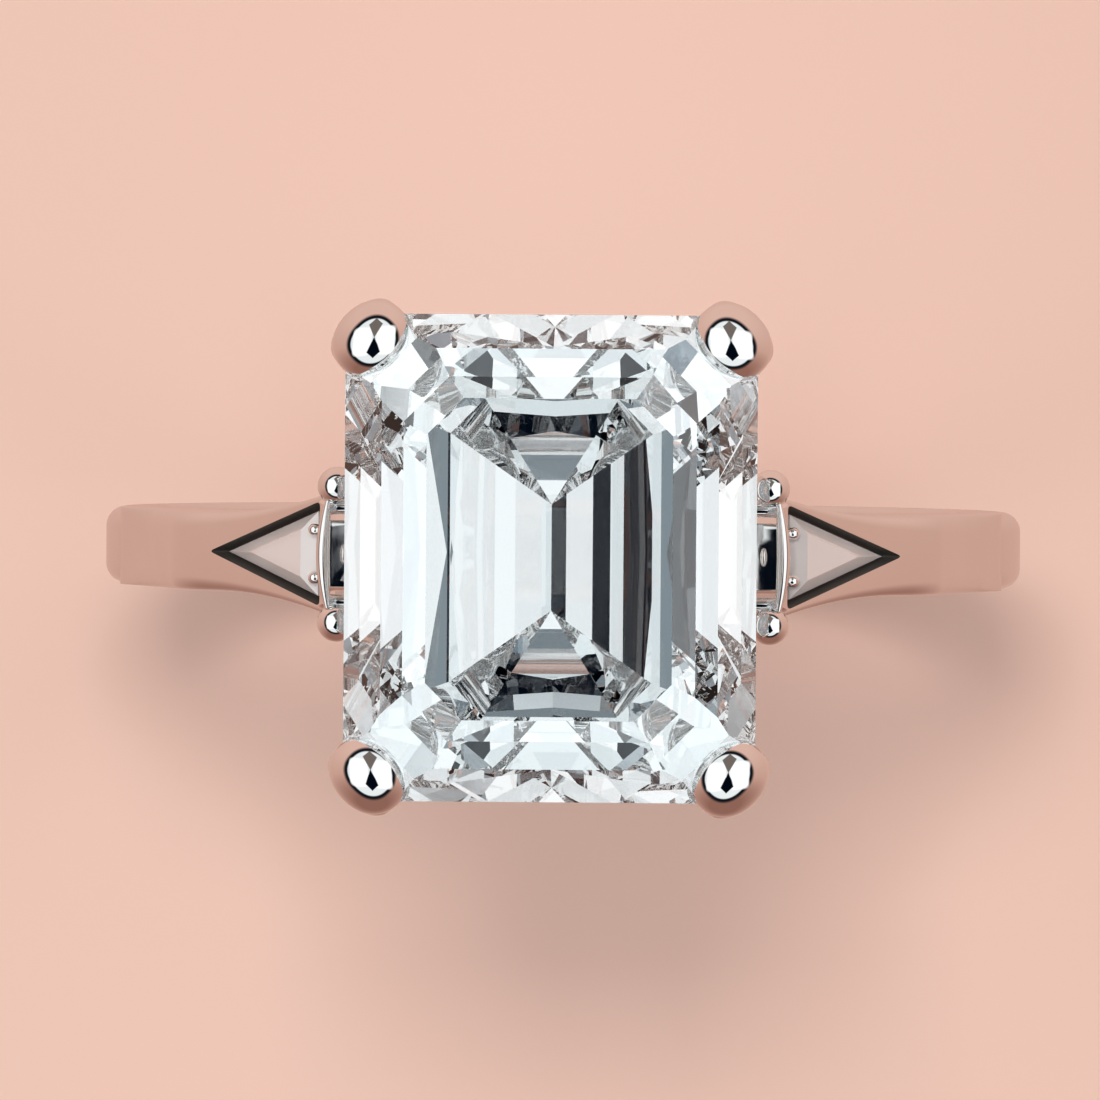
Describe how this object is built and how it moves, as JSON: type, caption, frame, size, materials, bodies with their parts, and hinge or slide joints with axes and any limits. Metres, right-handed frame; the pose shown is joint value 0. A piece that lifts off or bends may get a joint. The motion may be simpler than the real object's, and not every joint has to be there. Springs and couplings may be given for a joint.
{
  "type": "engagement ring",
  "caption": "Engagement ring with an emerald-cut centre stone held by corner claws, triangular side stones set flush in tapering shoulders, and a plain polished band.",
  "frame": {"origin": "centre of the finger bore, on its axis and midway across the band's width", "axes": "+Y along the finger bore, +Z from the finger up to the centre stone, X across the shoulders"},
  "size_m": [0.0198, 0.0106, 0.0257],
  "materials": {
    "white_gold": "polished",
    "diamond": "polished"
  },
  "bodies": {
    "root": {"shank": "white_gold", "shoulder_left": "white_gold", "shoulder_right": "white_gold", "side_stone_left": "diamond", "side_stone_right": "diamond", "side_claw_left_front": "white_gold", "side_claw_left_back": "white_gold", "side_claw_right_front": "white_gold", "side_claw_right_back": "white_gold", "collar_left": "white_gold", "collar_right": "white_gold", "collar_bead_left_front": "white_gold", "collar_bead_left_back": "white_gold", "collar_bead_right_front": "white_gold", "collar_bead_right_back": "white_gold", "claw_left_front": "white_gold", "claw_left_back": "white_gold", "claw_right_front": "white_gold", "claw_right_back": "white_gold", "upper_gallery_rail": "white_gold", "lower_gallery_rail": "white_gold", "bridge_left_front": "white_gold", "bridge_left_back": "white_gold", "bridge_right_front": "white_gold", "bridge_right_back": "white_gold", "centre_stone": "diamond"}
  },
  "joints": []
}
